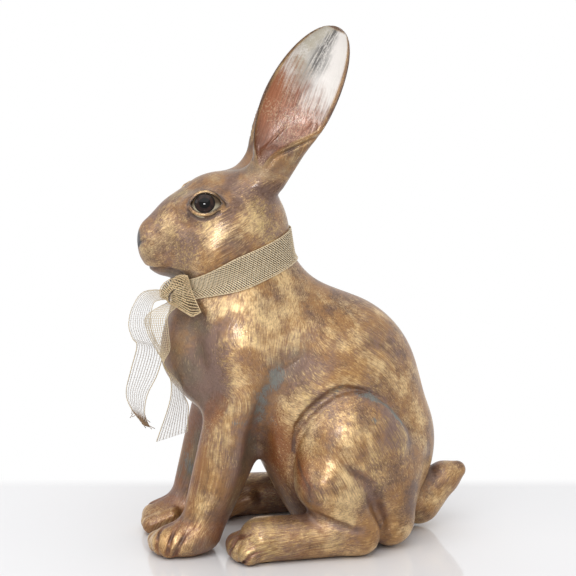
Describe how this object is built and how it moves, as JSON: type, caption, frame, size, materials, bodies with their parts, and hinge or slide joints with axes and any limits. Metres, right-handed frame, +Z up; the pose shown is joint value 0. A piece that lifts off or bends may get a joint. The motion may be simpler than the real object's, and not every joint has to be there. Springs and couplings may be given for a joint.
{
  "type": "rabbit figurine",
  "caption": "Seated rabbit ornament in cast resin with an aged-gold finish, upright cupped ears, dark domed eyes and a woven ribbon tied at the neck.",
  "frame": {"origin": "on the floor, in the middle of the overall box", "axes": "+Z up, nose towards -Y, the rabbit's left side towards +X"},
  "size_m": [0.163, 0.278, 0.4063],
  "materials": {
    "aged_gold": "cast resin, brushed gold paint with brown and grey age wash, satin",
    "eye": "glossy dark dome",
    "dowel": "plain drawn bar",
    "stopper": "matt moulded",
    "felt": "pressed felt",
    "ribbon": "open plain weave with a metallic glint"
  },
  "bodies": {
    "root": {"body_casting": "aged_gold", "head_casting": "aged_gold", "left_ear": "aged_gold", "right_ear": "aged_gold", "left_foreleg": "aged_gold", "right_foreleg": "aged_gold", "left_haunch": "aged_gold", "right_haunch": "aged_gold", "tail": "aged_gold", "left_eye": "eye", "right_eye": "eye", "left_ear_dowel": "dowel", "right_ear_dowel": "dowel", "left_neck_dowel": "dowel", "right_neck_dowel": "dowel", "left_foreleg_dowel": "dowel", "right_foreleg_dowel": "dowel", "left_haunch_dowel": "dowel", "right_haunch_dowel": "dowel", "tail_dowel": "dowel", "base_plug": "stopper", "rump_pad": "felt", "left_forepaw_pad": "felt", "right_forepaw_pad": "felt", "left_hind_foot_pad": "felt", "right_hind_foot_pad": "felt", "ribbon_collar": "ribbon", "ribbon_knot": "ribbon", "ribbon_front_end": "ribbon", "ribbon_chest_end": "ribbon"}
  },
  "joints": []
}
